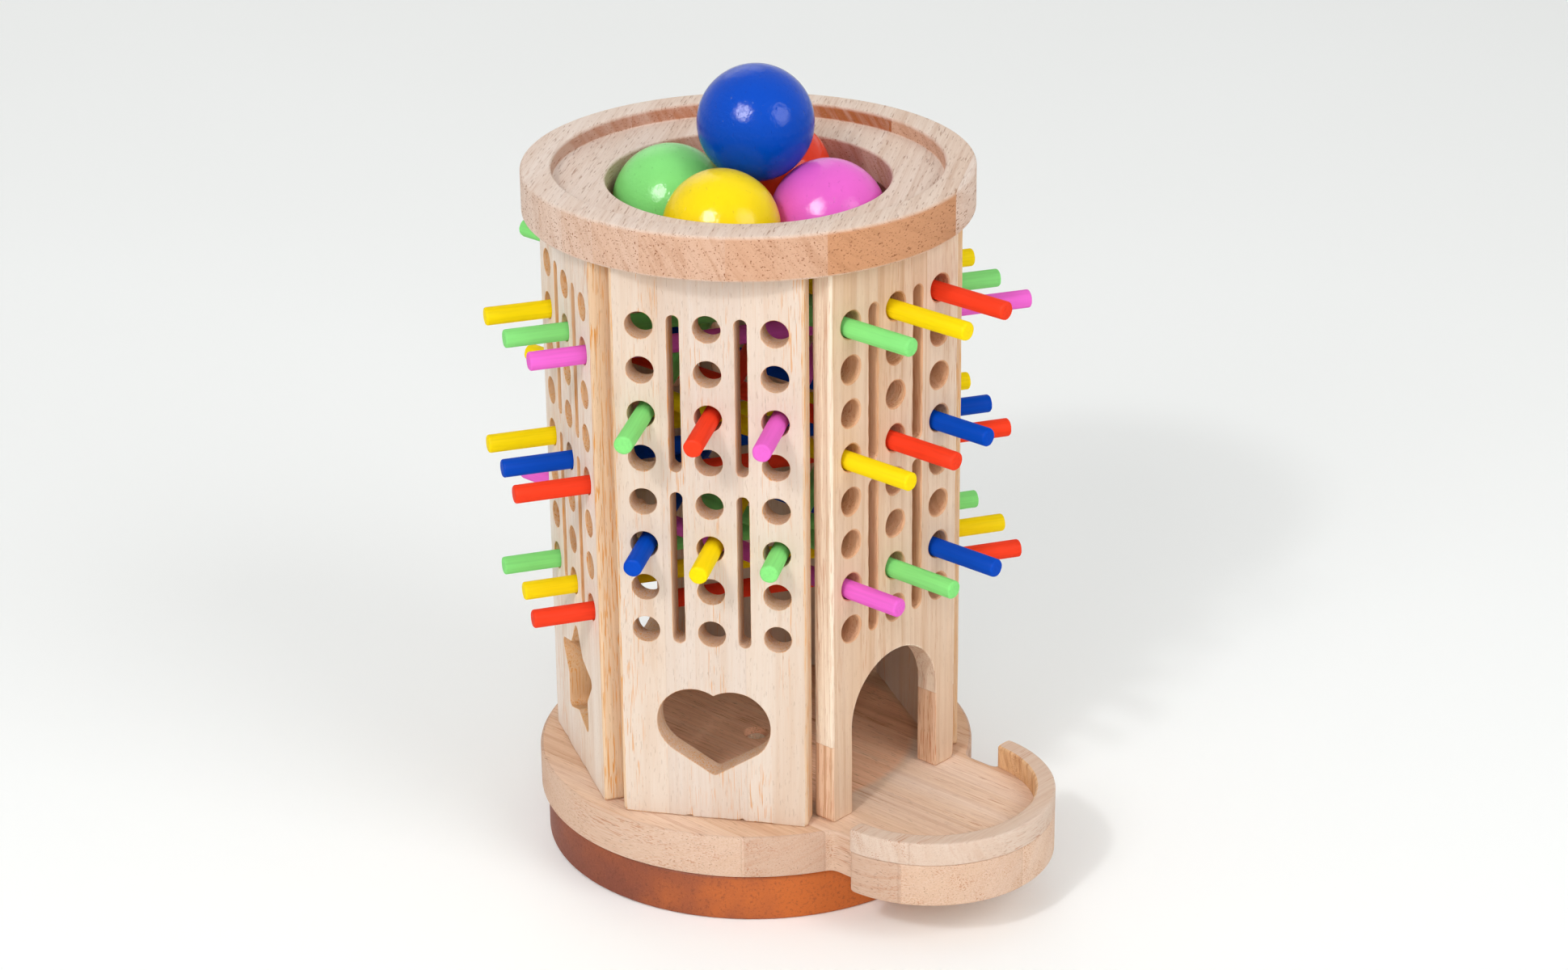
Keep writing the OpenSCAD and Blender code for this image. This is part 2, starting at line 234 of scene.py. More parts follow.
def timber(paint, point, look, side, cut):
    # Solid wood with its grain along z. Each glued strip reads its own part of the pattern. Growth lines are
    # stretched noise, rings the depth in the trunk modulo their gap, fibres, flecks and pores finer noise.
    # side marks the piece's edges and cut the walls of its openings.
    half = look['span'] / 2
    across = paint.axis(point, 'X')
    stops = [(max(0.0, (x + half) / look['span']), tone) for x, tone in look['strips']]
    strip = paint.node('ValToRGB', {'spread': 'CONSTANT', 'stops': stops},
                       {0: (across + half) / look['span']})
    tone = paint.node('SeparateColor', {}, {0: strip}, 0)
    seams = 0.0
    for x, _ in look['strips'][1:]:  # a hair line where two strips are glued
        near = paint.node('Math', {'operation': 'ABSOLUTE'}, {0: across - x})
        seams = seams + (1 - paint.band(near, *pattern['glueLine']))
    shift = paint.node('VectorMath', {'operation': 'SCALE'}, {0: pattern['stripShift'], 'Scale': tone})
    grain = point + shift
    drift = paint.noise(grain, pattern['drift'], seed=look['seed'], out='Color')
    grain = grain + (drift - 0.5) * (look['wander'], look['wander'], 0)

    slant = tone * look['fan'] + look['slant']  # each strip was sawn at its own angle to the rings
    layers = paint.node('VectorRotate', {'rotation_type': 'Z_AXIS'}, {'Vector': grain, 'Angle': slant})
    cloud = paint.noise(layers, pattern['cloud'], detail=3, rough=0.55, seed=3.1)
    depth = paint.axis(layers, 'X') / look['ringGap'] + cloud * pattern['ringBend']
    ring = paint.node('Math', {'operation': 'FRACT'}, {0: depth}) ** pattern['ringSharp']
    lineRate = (look['lineRate'], look['lineRate'] * pattern['lineThrough'], pattern['lineAlong'])
    lines = paint.noise(layers, lineRate, rough=0.6, seed=7.7)
    fibre = paint.noise(grain, pattern['fibre'], detail=3, rough=0.65, seed=1.9)
    patch = paint.band(paint.noise(grain, pattern['patch'], seed=5.3), *pattern['patchBand'])
    thin = paint.noise(grain, pattern['streak'], detail=1, seed=11.3)
    both = side + cut
    streak = paint.band(thin + both * 0.03, *pattern['streakBand'])
    streak = streak * (patch * 0.9 + both * look['endFlecks'] + 0.05)
    pores = paint.noise(grain, look['poreShape'], detail=1, seed=13.7)
    pores = paint.band(pores, look['poreStart'], pattern['poreFull'])

    colour = paint.tint(paint.band(cloud, *pattern['cloudBand']), shade(*look['pale']), shade(*look['warm']))
    colour = paint.tint(tone * look['stripTint'], colour, shade(*look['strip']))
    colour = paint.tint(side * look['edgeTint'] * (0.15 + tone * 0.85), colour, shade(*look['edge']))
    # Cut walls take the cut tone: drilled end grain, made warmer as painted warm shade in the openings
    colour = paint.tint(cut * look['cutTint'] * (0.5 + lines), colour, shade(*look['cutTone']))
    marks = 0.4 + tone * 1.3 + both * look['endMarks'] + cut * look['cutMarks']  # how far the lines tell
    line = shade(*look['line'])
    colour = paint.tint(paint.band(lines, *pattern['lineBand']) * marks * look['lines'], colour, line)
    colour = paint.tint(ring * marks * look['rings'], colour, line)
    colour = paint.tint(paint.band(fibre, *pattern['fibreBand']) * look['fibres'], colour, line)
    colour = paint.tint(streak * look['flecks'], colour, shade(*look['fleck']))
    colour = paint.tint(pores * look['pores'] * (1 + both * look['endPores']), colour, shade(*look['pore']))
    colour = paint.tint(seams * look['seams'], colour, shade(*look['pore']))
    height = fibre * 0.6 + lines * 0.5 - pores * 0.8 - streak * 0.3 - seams * look['seams'] * 2 - ring * 0.3
    rough = 0.56 + fibre * 0.12 + pores * 0.1 + cut * 0.12
    return colour, rough, height


def timberMaterial(name, look, turn=0, order='XYZ'):
    # Timber on the piece's own place, with another wood below a joint, or painted warm shade within a radius,
    # where look asks
    paint = Paint(name)
    point = paint.space(turn, order)
    side, cut = paint.read('side'), paint.read('cut')
    if 'joint' in look:  # below it the edges are of another piece of wood, with darker cuts
        both = paint.node('Math', {'operation': 'MAXIMUM'}, {0: side, 1: cut})
        blur = pattern['jointBlur']
        low = both * (1 - paint.band(paint.axis(point, 'Z'), look['joint'] - blur, look['joint'] + blur))
        through, along = pattern['jointShift']
        point = point + paint.node('CombineXYZ', {}, {0: 0.0, 1: low * through, 2: low * along})
        cut = cut + low * pattern['jointTone']
    if 'inside' in look:  # painted warm shade: the floor under the tower takes the cut tone within this radius
        far = paint.node('VectorMath', {'operation': 'LENGTH'}, {0: point * (1, 0, 1)}, 'Value')
        blur = pattern['insideBlur']
        cut = cut + 1 - paint.band(far, look['inside'] - blur, look['inside'] + blur)
    colour, rough, height = timber(paint, point, look, side, cut)
    return paint.finish(colour, rough, height, pattern['bump'], {'Specular IOR Level': pattern['specular']})


# Outlines, all as arrays of points in a plane

def rounded(points, steps=6):
    # Each point (x, y, r) becomes the arc of radius r that touches both of its sides
    c = np.array(points, float)
    spot, r = c[:, :2], c[:, 2:]
    back, on = np.roll(spot, 1, 0) - spot, np.roll(spot, -1, 0) - spot
    back /= np.linalg.norm(back, axis=1, keepdims=True)
    on /= np.linalg.norm(on, axis=1, keepdims=True)
    half = np.arccos(np.clip((back * on).sum(1, keepdims=True), -1, 1)) / 2
    mid = spot + (back + on) / np.linalg.norm(back + on, axis=1, keepdims=True) * r / np.sin(half)
    start, end = spot + back * r / np.tan(half) - mid, spot + on * r / np.tan(half) - mid
    first = np.arctan2(start[:, 1], start[:, 0])[:, None]
    sweep = (np.arctan2(end[:, 1], end[:, 0])[:, None] - first + 3 * np.pi) % (2 * np.pi) - np.pi
    a = first + sweep * np.linspace(0, 1, steps + 1)
    return (mid[:, None] + r[:, None] * np.stack([np.cos(a), np.sin(a)], 2)).reshape(-1, 2)


def arc(x, y, r, first, last, count):
    # Points of a circle of radius r about (x, y), between two angles in degrees
    a = np.radians(np.linspace(first, last, count))
    return np.stack([x + r * np.cos(a), y + r * np.sin(a)], 1)


def circle(x, y, r, count, sweep=-360):
    # A closed circle, clockwise unless sweep is positive
    return arc(x, y, r, 0, sweep, count + 1)[:-1]


def filled(loop, gap):
    # Splits each side of a closed outline into equal parts no longer than gap
    side = np.roll(loop, -1, 0) - loop
    parts = np.maximum(1, np.ceil(np.linalg.norm(side, axis=1) / gap)).astype(int)
    which = np.repeat(np.arange(len(loop)), parts)
    share = (np.arange(parts.sum()) - np.repeat(np.cumsum(parts) - parts, parts)) / parts[which]
    return loop[which] + side[which] * share[:, None]


def softened(loop, gap, spread):
    # Evenly spaced points, each the weighted mean of its neighbours, with weights that fall as a bell curve
    shut = np.vstack([loop, loop[:1]])
    run = np.concatenate([[0], np.cumsum(np.linalg.norm(np.diff(shut, axis=0), axis=1))])
    at = np.arange(0, run[-1] - gap / 2, gap)
    even = np.stack([np.interp(at, run, shut[:, 0]), np.interp(at, run, shut[:, 1])], 1)
    rate = np.fft.fftfreq(len(even), run[-1] / len(even))
    bell = np.exp(-2 * (np.pi * rate * spread) ** 2)
    return np.fft.ifft(np.fft.fft(even, axis=0) * bell[:, None], axis=0).real


def ripple(points, size, seed):
    # A smooth wander between about -1 and 1: the mean of five sine waves that cross at odd angles
    x, y = points[..., 0] / size, points[..., 1] / size
    k = np.arange(1, 6)
    turn = k * 2.4 + seed
    run = x[..., None] * np.cos(turn) + y[..., None] * np.sin(turn)
    wave = np.sin(run * (0.7 + 0.35 * k) + seed * k * 1.7)
    return wave.mean(-1) * 1.8


def worn(radius, wave):
    # The radius of a rounded edge: its mean, and its change times the wave
    mean, change = radius
    return mean + change * wave


# Meshes

def woodSide(loop):
    # Mitred normals that point into the wood, which lies to the left of the way the loop runs
    side = np.roll(loop, -1, 0) - loop
    left = np.stack([-side[:, 1], side[:, 0]], 1) / np.linalg.norm(side, axis=1, keepdims=True)
    both = left + np.roll(left, 1, 0)
    return both * 2 / (both ** 2).sum(1, keepdims=True)


def quads(rows, cols, first=0, shut=False):
    # Faces of a grid whose columns wrap round, and whose rows do too if it is shut
    r, c = np.arange(rows if shut else rows - 1)[:, None], np.arange(cols)[None]
    up, right = (r + 1) % rows, (c + 1) % cols
    four = [r * cols + c, r * cols + right, up * cols + right, up * cols + c]
    return first + np.stack(np.broadcast_arrays(*four), 2).reshape(-1, 4)


def edgeRows(low, high, thick, steps=4):
    # Rows up the edge of a slab: a quarter round of radius low, the wall, a quarter round of radius high
    low, high = np.broadcast_arrays(low, high)
    a = np.linspace(0, np.pi / 2, steps + 1)[:, None]
    inset = np.concatenate([low * (1 - np.sin(a)), high * (1 - np.sin(a[::-1]))])
    height = np.concatenate([low * (1 - np.cos(a)), thick - high * (1 - np.cos(a[::-1]))])
    return inset, height


def flatCap(loops):
    # A Delaunay net on the points and sides of all outlines. The triangles that lie off the wood take
    # three points of one outline against the way it runs, and are left out
    spots, count = np.concatenate(loops), [len(loop) for loop in loops]
    whose = np.repeat(np.arange(len(loops)), count)
    start = np.repeat(np.cumsum(count) - count, count)
    index = np.arange(len(spots))
    after = start + (index - start + 1) % np.repeat(count, count)
    sides = np.stack([index, after], 1).tolist()
    net = delaunay_2d_cdt([Vector(s) for s in spots.tolist()], sides, [], 1, 1e-6)
    tris = np.array(net[2])
    mixed = (whose[tris] != whose[tris[:, :1]]).any(1)
    return tris[mixed | ((np.roll(tris, -1, 1) > tris).sum(1) == 2)]


def tag(mesh, key, values, where='FACE'):
    # Gives each face or point a number that the material reads
    made = mesh.attributes.new(key, 'FLOAT', where)
    made.data.foreach_set('value', np.ascontiguousarray(values, np.float32))


def addPiece(name, mesh, material, body, slot, node):
    # The finished piece, which stands for one CAD node and rides on a body
    mesh.materials.append(material)
    piece = placed(name, mesh)
    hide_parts(node)
    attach(piece, body)


def slabMesh(name, loops, place):
    # Every outline is carried up a slab by its rows: a point is the outline's point, moved into the wood
    # by the row's inset, at the row's height. Flat caps close both faces
    points, faces, tags, caps, first = [], [], [], ([], []), 0
    for part in loops:
        loop, count = part['loop'], len(part['loop'])
        inset, height = (np.broadcast_to(v, (len(v), count)) for v in part['rows'])
        spots = loop + woodSide(loop) * inset[..., None]
        points.append(np.concatenate([spots, height[..., None]], 2).reshape(-1, 3))
        faces += quads(len(inset), count, first).tolist()
        kind = np.stack([np.broadcast_to(part.get(key, 0.0), count) for key in ('side', 'cut')], 1)
        tags.append(np.tile(kind, (len(inset) - 1, 1)))
        for cap, row in zip(caps, (0, len(inset) - 1)):
            cap.append((spots[row], first + row * count + np.arange(count)))
        first += len(points[-1])
    for cap, way in zip(caps, (-1, 1)):
        tris = np.concatenate([index for _, index in cap])[flatCap([spots for spots, _ in cap])]
        faces += tris[:, ::way].tolist()
        tags.append(np.zeros((len(tris), 2)))
    mesh = bpy.data.meshes.new(name)
    mesh.from_pydata((place(np.concatenate(points)) * mm).tolist(), [], faces)
    for key, column in zip(('side', 'cut'), np.concatenate(tags).T):
        tag(mesh, key, column)
    border = np.zeros(first, bool)
    border[np.concatenate([index for cap in caps for _, index in cap])] = True
    ends = np.empty(2 * len(mesh.edges), int)
    mesh.edges.foreach_get('vertices', ends)
    mesh.shade_smooth()
    sharp = mesh.attributes.new('sharp_edge', 'BOOLEAN', 'EDGE')
    sharp.data.foreach_set('value', border[ends.reshape(-1, 2)].all(1))
    return mesh


def turnedMesh(name, profile, count, place=None, shut=False, shape=None, lay=None):
    # A profile (r, z) turned about z: point = (r cos a, r sin a, z), with r and z changed by shape(a, r, z)
    a = np.linspace(0, 2 * np.pi, count, endpoint=False)[None]
    r, z = profile[:, :1] + 0 * a, profile[:, 1:] + 0 * a
    if shape is not None:
        r, z = shape(a, r, z)
    spots = np.stack([r * np.cos(a), r * np.sin(a), z], 2).reshape(-1, 3)
    mesh = bpy.data.meshes.new(name)
    mesh.from_pydata(((spots if place is None else place(spots)) * mm).tolist(), [],
                     quads(len(profile), count, shut=shut).tolist())
    if lay is not None:  # the piece's own coordinates, for a pattern that follows it
        own = mesh.attributes.new('lay', 'FLOAT_VECTOR', 'POINT')
        own.data.foreach_set('vector', np.ascontiguousarray(spots + lay, np.float32).ravel())
    work = bmesh.new()
    work.from_mesh(mesh)
    bmesh.ops.remove_doubles(work, verts=work.verts, dist=1e-6)  # closes the poles
    work.to_mesh(mesh)
    work.free()
    mesh.shade_smooth()
    mesh.set_sharp_from_angle(angle=np.radians(38))
    return mesh


def facing(turn):
    # Rows are the ways across, up and out of a wall whose face is turned from -y
    a = np.radians(turn)
    return np.array([[np.cos(a), np.sin(a), 0], [0, 0, 1], [np.sin(a), -np.cos(a), 0]])


# Sizes shared by the pieces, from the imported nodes

low, high = corners('door_panel')
tower = {'inner': -high[1], 'half': high[0], 'floor': low[2], 'top': high[2], 'thick': high[1] - low[1],
         'pitch': 15.0, 'column': 21.7, 'firstRow': 19.9, 'rows': 8}
print('tower walls', round(high[2] - low[2], 2), 'mm high,', round(2 * high[0], 2), 'mm wide')


# Wall boards

# A radius is its mean and how far wear changes it. A wave is its length in mm
board = {'doorWidth': 42.6, 'doorHeight': 52, 'heartWidth': 37.8, 'heartHeight': 30.6, 'lobe': 12.3, 'tip': 2,
         'heartRise': 16.5, 'starReach': 20.4, 'starWaist': 0.6, 'starRound': 2, 'starRise': 31.8,
         'windowWidth': 33.6, 'windowRise': 31, 'windowPoints': 120, 'cutGap': 0.9,
         'hole': 9, 'holePoints': 48, 'slot': 4, 'slotPast': 4, 'slotRows': ((0, 3), (4, 7)), 'slotGap': 1.2,
         'corner': 1.6, 'legCorner': 0.8, 'archSlack': 0.3, 'gap': 0.6, 'sideDepth': 0.9, 'wave': 9.0,
         'sideFront': (1.0, 0.2), 'sideBack': (1.2, 0.1), 'endFront': (0.4, 0.12), 'endBack': (0.3, 0.1),
         'cutBack': 0.25, 'cutWear': 0.3, 'cutWave': 2.2,
         'footLift': (0.05, 0.05), 'footWave': 2.0, 'chipRise': 3, 'chipShare': (0.8, 0.3), 'chipWave': 0.7,
         'tornAt': (5, 51), 'tornSize': (5.5, 4), 'tornDepth': (2.0, 0.9), 'tornWave': 0.9}
boardLook = {
    'pale': (221, 207, 196), 'warm': (214, 194, 178),  # the wood's own two tones
    'strip': (236, 212, 184), 'stripTint': 0.35,  # what a glued strip of tone 1 is tinted with
    'line': (204, 168, 138), 'lines': 0.38, 'fibres': 0.16, 'rings': 0.1,  # how strong each mark is
    'lineRate': 0.62, 'ringGap': 3.4, 'slant': 0.2, 'fan': 2.4, 'wander': 5.0,  # how the grain runs
    'edge': (228, 190, 146), 'edgeTint': 1.0, 'cutTone': (216, 172, 136), 'cutTint': 0.6,
    'fleck': (218, 152, 84), 'flecks': 0.7, 'pore': (152, 110, 80), 'pores': 0.16,
    'poreShape': (3.1, 3.1, 0.3), 'poreStart': 0.66, 'seams': 0.12,
    'endFlecks': 0.8, 'endMarks': 0.5, 'endPores': 0.5, 'cutMarks': 0.0,  # what edges and cuts add
    'span': 66.0}
# Strips are pairs of where each begins across the board and its tone. Chips are middle, width and depth
boards = {
    # The door board's warmer tones are partly painted shade, the board facing away from the key lamp; its
    # pale, strong edge tone is partly painted light on the shaded reveals of the arch
    'door_panel': {
        'turn': 0, 'opening': 'door', 'seed': 0.4, 'strips': [(-33, 0.35), (-9, 0.75), (15, 0.1)],
        'holeRound': 0.55, 'chips': [(-26, 3, 0.1)], 'flecks': 0.35, 'lines': 0.34, 'joint': 60.0,
        'rings': 0.25, 'ringGap': 2.3, 'pale': (230, 208, 187), 'warm': (223, 192, 164),
        'strip': (228, 192, 156), 'line': (192, 146, 110), 'edge': (248, 234, 214), 'edgeTint': 1.8,
        'cutTone': (220, 156, 104), 'fleck': (184, 104, 54), 'endFlecks': 0.5},
    'heart_panel': {
        'turn': -60, 'opening': 'heart', 'seed': 2.6, 'strips': [(-33, 0.6), (-15.5, 0.05), (11, 0.45)],
        'holeRound': 0.2, 'chips': [(-8.9, 1.1, 0.75), (9.0, 0.8, 0.6), (-16, 5, 0.2), (4, 5, 0.22),
                                    (16, 4, 0.25)]},
    # The star board's paler tones are partly painted light, the board facing the key lamp
    'star_panel': {
        'turn': -120, 'opening': 'star', 'seed': 5.2, 'strips': [(-33, 0.2), (2, 0.7)],
        'holeRound': 0.2, 'chips': [(-17, 3.4, 0.5), (9, 4, 0.5), (-2, 3, 0.15)],
        'pale': (238, 228, 221), 'warm': (230, 214, 201), 'cutTone': (226, 182, 136), 'cutTint': 1.0},
    'door_back_panel': {
        'turn': 180, 'opening': 'round', 'seed': 8.1, 'strips': [(-33, 0.5), (-6, 0.15), (19, 0.8)],
        'holeRound': 0.3, 'chips': [(12, 3, 0.3)]},
    'heart_back_panel': {
        'turn': 120, 'opening': None, 'seed': 9.7, 'strips': [(-33, 0.1), (-12, 0.55), (8, 0.3)],
        'holeRound': 0.3, 'chips': [(-14, 4, 0.3)], 'flecks': 0.5},
    'star_back_panel': {
        'turn': 60, 'opening': None, 'seed': 11.9, 'strips': [(-33, 0.7), (5, 0.2)],
        'holeRound': 0.3, 'chips': [(20, 3, 0.4)], 'flecks': 0.6}}


def heartLoop(b, floor):
    # Two lobes and a tip as arcs, joined by the straight lines that touch both, wound clockwise
    lobe = np.array([b['heartWidth'] / 2 - b['lobe'], b['heartHeight'] - b['lobe']])
    line = lobe - [0, b['tip']]
    bend = np.arccos((b['tip'] - b['lobe']) / np.linalg.norm(line))
    touch = np.degrees(np.arctan2(line[1], line[0]) - bend)
    notch = 180 - np.degrees(np.arccos(lobe[0] / b['lobe']))
    right = np.vstack([arc(0, b['tip'], b['tip'], -90, touch, 7), arc(*lobe, b['lobe'], touch, notch, 44)])
    whole = np.vstack([right, right[-2:0:-1] * [-1, 1]]) + [0, floor + b['heartRise']]
    return filled(whole[::-1], b['cutGap'])


def starLoop(b, floor):
    # Ten corners on two circles in turn, each rounded, wound clockwise
    a = np.radians(36 * np.arange(10))
    r = np.where(np.arange(10) % 2 == 0, 1, b['starWaist']) * b['starReach']
    points = np.stack([r * np.sin(a), r * np.cos(a) + floor + b['starRise'], 0 * a + b['starRound']], 1)
    return filled(rounded(points), b['cutGap'])


def windowLoop(b, floor):
    # A circle, wound clockwise
    return circle(0, floor + b['windowRise'], b['windowWidth'] / 2, b['windowPoints'])


windows = {'heart': heartLoop, 'star': starLoop, 'round': windowLoop}


def slotLoop(b, x, high, low):
    # A round-ended slot that reaches from low to high, wound clockwise
    r = b['slot'] / 2
    ends = np.vstack([arc(x, high - r, r, 180, 0, 17), arc(x, low + r, r, 0, -180, 17)])
    return filled(ends, b['slotGap'])


def plateau(x, middle, width):
    # 1 near the middle, falling to 0 past the width, with a flat top
    return np.exp(-((x - middle) / width) ** 4)


def boardOutline(spec, b, t):
    # The board's edge, with its doorway if it has one, lifted in small chips along its bottom end
    w, z0, z1 = t['half'], t['floor'], t['top']
    points = [[w, z0, b['corner']], [w, z1, b['corner']], [-w, z1, b['corner']], [-w, z0, b['corner']]]
    if spec['opening'] == 'door':
        d, h = b['doorWidth'] / 2, z0 + b['doorHeight']
        leg, top = b['legCorner'], d - b['archSlack']
        points += [[-d, z0, leg], [-d, h, top], [d, h, top], [d, z0, leg]]
    loop = filled(rounded(points, 16), b['gap'])
    bottom = loop[:, 1] < z0 + 0.01
    lift = worn(b['footLift'], ripple(loop, b['footWave'], spec['seed']))
    for middle, width, depth in spec['chips']:
        share = worn(b['chipShare'], ripple(loop, b['chipWave'], middle))
        lift += depth * plateau(loop[:, 0], middle, width) * share
    loop[:, 1] += np.clip(1 - (loop[:, 1] - z0) / b['chipRise'], 0, 1) * np.maximum(lift, 0)
    return loop, bottom


def boardLoops(spec, b, t):
    # The board's outline, its holes and slots in rows and columns, and its window, each with its worn edges
    outline, bottom = boardOutline(spec, b, t)
    x, z = outline.T
    upright = np.abs(x) > t['half'] - b['sideDepth']
    wave = ripple(outline, b['wave'], spec['seed'] + 2)
    front = np.where(upright, worn(b['sideFront'], wave), worn(b['endFront'], wave))
    back = np.where(upright, worn(b['sideBack'], wave), worn(b['endBack'], wave))
    if spec['opening'] == 'door':  # the drill tore the back edge near the top of the arch
        arch = (np.abs(x) < b['doorWidth'] / 2 + b['archSlack']) & ~bottom & (z < t['top'] - 1)
        torn = plateau(x, b['tornAt'][0], b['tornSize'][0])
        torn = torn * plateau(z, t['floor'] + b['tornAt'][1], b['tornSize'][1])
        depth = worn(b['tornDepth'], ripple(outline, b['tornWave'], 4.0))
        back = np.where(arch, b['endBack'][0] + torn * depth, back)
    row = t['top'] - t['firstRow'] - t['pitch'] * np.arange(t['rows'])
    cuts = [circle(c * t['column'], up, b['hole'] / 2, b['holePoints']) for up in row for c in (-1, 0, 1)]
    for middle in (-t['column'] / 2, t['column'] / 2):
        for first, last in b['slotRows']:
            cuts.append(slotLoop(b, middle, row[first] + b['slotPast'], row[last] - b['slotPast']))
    if spec['opening'] in windows:
        cuts.append(windows[spec['opening']](b, t['floor']))
    loops = [{'loop': outline, 'rows': edgeRows(back, front, t['thick']), 'side': 1.0}]
    for loop in cuts:
        rim = spec['holeRound'] * (1 + b['cutWear'] * ripple(loop, b['cutWave'], spec['seed'] + 1))
        loops.append({'loop': loop, 'rows': edgeRows(b['cutBack'], rim, t['thick']), 'cut': 1.0})
    return loops


for name, spec in boards.items():
    wood = timberMaterial(name.replace('_', ' ') + ' wood', dict(boardLook, **spec), spec['turn'])
    axes = facing(spec['turn'])
    mesh = slabMesh(name + '_wood', boardLoops(spec, board, tower),
                    lambda p: p @ axes + tower['inner'] * axes[2])
    addPiece(name + '_board', mesh, wood, 'tower', 'panel_wood', name)
print('wall boards done')


# Base plate with the tray's floor

low, high = corners('base_plate')
# The floor under the tower, within the radius given last in this table, is tinted as painted warm shade
plate = {'low': low[2], 'thick': high[2] - low[2], 'r': high[1], 'reach': 78, 'neck': 34.8, 'tray': 41.4,
         'gap': 0.5, 'soft': 1.6, 'wave': 12, 'under': (0.9, 0.1), 'top': (1.0, 0.1),
         'recess': 4.3, 'recessDepth': 4.0, 'recessRound': (0.1, 0.35), 'recessPoints': 48,
         'bore': 2.55, 'boreRound': 0.2, 'paintedShadeRadius': 54}
plateLook = {
    'pale': (243, 219, 200), 'warm': (238, 208, 182), 'strip': (210, 168, 132), 'stripTint': 0.7,
    'line': (186, 132, 98), 'lines': 0.3, 'fibres': 0.3, 'rings': 0.15,
    'lineRate': 0.6, 'ringGap': 3.6, 'slant': 0.55, 'fan': 0.7, 'wander': 2.4,
    # The cut tone colours the bore's walls and, inside the tower, the floor as painted warm shade
    'edge': (203, 173, 153), 'edgeTint': 1.15, 'cutTone': (255, 202, 166), 'cutTint': 0.9,
    'fleck': (180, 114, 76), 'flecks': 0.6, 'pore': (136, 96, 72), 'pores': 0.3,
    'poreShape': (3.0, 3.0, 0.25), 'poreStart': 0.64, 'seams': 0.14,
    'endFlecks': 0.0, 'endMarks': -0.6, 'endPores': 0.8, 'cutMarks': 0.6,
    'span': 160.0, 'seed': 4.4,
    # The strips from -58 and from 32 are darker partly as painted shade, before the heart board and along the
    # tray's right side
    'strips': [(-80, 0.38), (-58, 0.72), (-37.3, 0.34), (-2.7, 0.14), (32, 0.95), (64, 0.4)]}


def plateOutline(p):
    # The disc, the neck and the round front with its square step, run anticlockwise and softened
    lean = np.degrees(np.arccos(p['neck'] / p['r']))
    disc = arc(0, 0, p['r'], -lean, 180 + lean, 400)
    front = arc(0, -p['reach'], p['tray'], 180, 360, 160)
    step = np.array([[p['neck'], -p['reach']]])
    return softened(np.vstack([disc, step * [-1, 1], front, step]), p['gap'], p['soft'])


def boreRows(p):
    # The bore, its step and the recess for the screw's head, as insets from the recess's wall and heights
    step, top, ledge = p['bore'] - p['recess'], p['thick'], p['thick'] - p['recessDepth']
    small, rim = p['recessRound']
    inset = np.array([[step + p['boreRound'], step, step, 0, 0, small, rim]]).T
    height = np.array([[0, p['boreRound'], ledge, ledge, top - rim, top - small, top]]).T
    return inset, height


outline = plateOutline(plate)
wave = ripple(outline, plate['wave'], 3.0)
rows = edgeRows(worn(plate['under'], wave), worn(plate['top'], wave), plate['thick'])
loops = [{'loop': outline, 'rows': rows, 'side': 1.0},
         {'loop': circle(0, 0, plate['recess'], plate['recessPoints']), 'rows': boreRows(plate), 'cut': 1.0}]
mesh = slabMesh('base_plate_wood', loops, lambda p: p + [0, 0, plate['low']])
# Within that radius the plate's floor takes the cut tone as painted warm shade
wood = timberMaterial('base plate wood', dict(plateLook, inside=plate['paintedShadeRadius']), 0, 'XZY')
addPiece('base_plate_board', mesh, wood, 'tower', 'base_wood', 'base_plate')
print('base plate done')


# Raised lip round the tray

low, high = corners('tray_lip')
lip = {'low': low[2], 'tall': high[2] - low[2], 'inner': 34.8, 'gap': 0.45, 'soft': 1.15,
       'wave': 8, 'under': (0.3, 0.1), 'top': (0.8, 0.07), 'innerEdge': 0.4, 'farStart': 6, 'farLong': 20}
lipLook = dict(plateLook, pale=(224, 208, 194), warm=(218, 195, 177), lines=0.24, fibres=0.16, rings=0.08,
               lineRate=0.7, ringGap=4.0, slant=0.1, fan=0.3, edge=(216, 198, 186), edgeTint=0.5,
               cutTone=(234, 190, 138), cutTint=0.85, pores=0.15, endMarks=0.0, cutMarks=2.2,
               span=90.0, seed=6.1, strips=[(-125, 0.3), (-99, 0.6)])


def lipOutline(p, base):
    # Half a ring with softened ends, over the plate's round front
    outer = arc(0, -base['reach'], base['tray'], 180, 360, 200)
    inner = arc(0, -base['reach'], p['inner'], 360, 180, 170)
    return softened(np.vstack([outer, inner]), p['gap'], p['soft'])


outline = lipOutline(lip, plate)
x, y = outline.T
wave = ripple(outline, lip['wave'], 1.0)
inside = np.hypot(x, y + plate['reach']) < lip['inner'] + 1
farEnd = np.clip((x - lip['farStart']) / lip['farLong'], 0, 1)  # the end away from the door is of warmer wood
farEnd = farEnd * (inside | (y > -plate['reach'] - 0.8))
rows = edgeRows(worn(lip['under'], wave), worn(lip['top'], wave), lip['tall'])
loops = [{'loop': outline, 'rows': rows, 'cut': farEnd, 'side': np.where(inside, lip['innerEdge'], 1.0)}]
mesh = slabMesh('tray_lip_wood', loops, lambda p: p + [0, 0, lip['low']])
wood = timberMaterial('lip wood', lipLook, 0, 'YZX')
addPiece('tray_lip_rail', mesh, wood, 'tower', 'pale_wood', 'tray_lip')
print('tray lip done')


# Top ring

